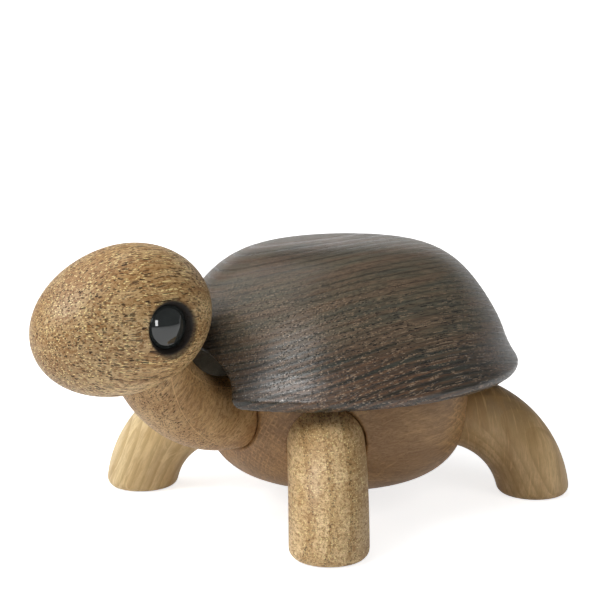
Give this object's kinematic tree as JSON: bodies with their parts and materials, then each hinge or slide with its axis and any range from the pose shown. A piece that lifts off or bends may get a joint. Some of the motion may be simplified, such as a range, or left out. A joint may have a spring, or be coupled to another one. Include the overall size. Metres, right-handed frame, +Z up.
{
  "type": "turtle figurine",
  "caption": "Free-standing wooden turtle ornament with a dark domed shell, a round belly, bent legs that turn, a turning neck, a turning egg-shaped head and black bead eyes.",
  "frame": {"origin": "on the floor, under the middle of the turtle's length and width", "axes": "+Z up, -Y forward along the snout, +X towards the turtle's left"},
  "size_m": [0.0808, 0.12, 0.0609],
  "materials": {
    "dark_stained_ash": "dark stained, open pored, satin oil",
    "smoked_oak": "fine sanded and oiled",
    "beech_dowel": "turned, untreated",
    "rubber_ring": "matt",
    "black_eye": "polished"
  },
  "bodies": {
    "body": {"belly": "smoked_oak", "shell": "dark_stained_ash", "shell_dowels": "beech_dowel"},
    "front_left": {"front_left_leg": "smoked_oak", "front_left_pivot": "beech_dowel", "front_left_ring": "rubber_ring"},
    "front_right": {"front_right_leg": "smoked_oak", "front_right_pivot": "beech_dowel", "front_right_ring": "rubber_ring"},
    "rear_left": {"rear_left_leg": "smoked_oak", "rear_left_pivot": "beech_dowel", "rear_left_ring": "rubber_ring"},
    "rear_right": {"rear_right_leg": "smoked_oak", "rear_right_pivot": "beech_dowel", "rear_right_ring": "rubber_ring"},
    "neck": {"neck": "smoked_oak", "neck_pivot": "beech_dowel", "neck_ring": "rubber_ring", "head_pivot": "beech_dowel", "head_ring": "rubber_ring"},
    "head": {"head": "smoked_oak", "left_eye": "black_eye", "right_eye": "black_eye"}
  },
  "joints": [
    {"name": "front_left_turn", "type": "hinge", "parent": "body", "child": "front_left", "pos_m": [0.01914, -0.00406, 0.01893], "axis": [0.757, -0.6043, -0.2487], "range_deg": [-75, 75]},
    {"name": "front_right_turn", "type": "hinge", "parent": "body", "child": "front_right", "pos_m": [-0.01914, -0.00406, 0.01893], "axis": [-0.757, -0.6043, -0.2487], "range_deg": [-75, 75]},
    {"name": "rear_left_turn", "type": "hinge", "parent": "body", "child": "rear_left", "pos_m": [0.01725, 0.03687, 0.01893], "axis": [0.6908, 0.6789, -0.2487], "range_deg": [-75, 75]},
    {"name": "rear_right_turn", "type": "hinge", "parent": "body", "child": "rear_right", "pos_m": [-0.01725, 0.03687, 0.01893], "axis": [-0.6908, 0.6789, -0.2487], "range_deg": [-75, 75]},
    {"name": "neck_turn", "type": "hinge", "parent": "body", "child": "neck", "pos_m": [0, -0.01273, 0.02298], "axis": [0, -1, 0], "range_deg": [-60, 60]},
    {"name": "head_turn", "type": "hinge", "parent": "neck", "child": "head", "pos_m": [0, -0.03674, 0.04019], "axis": [0, -0.5, 0.866], "range_deg": [-90, 90]}
  ]
}
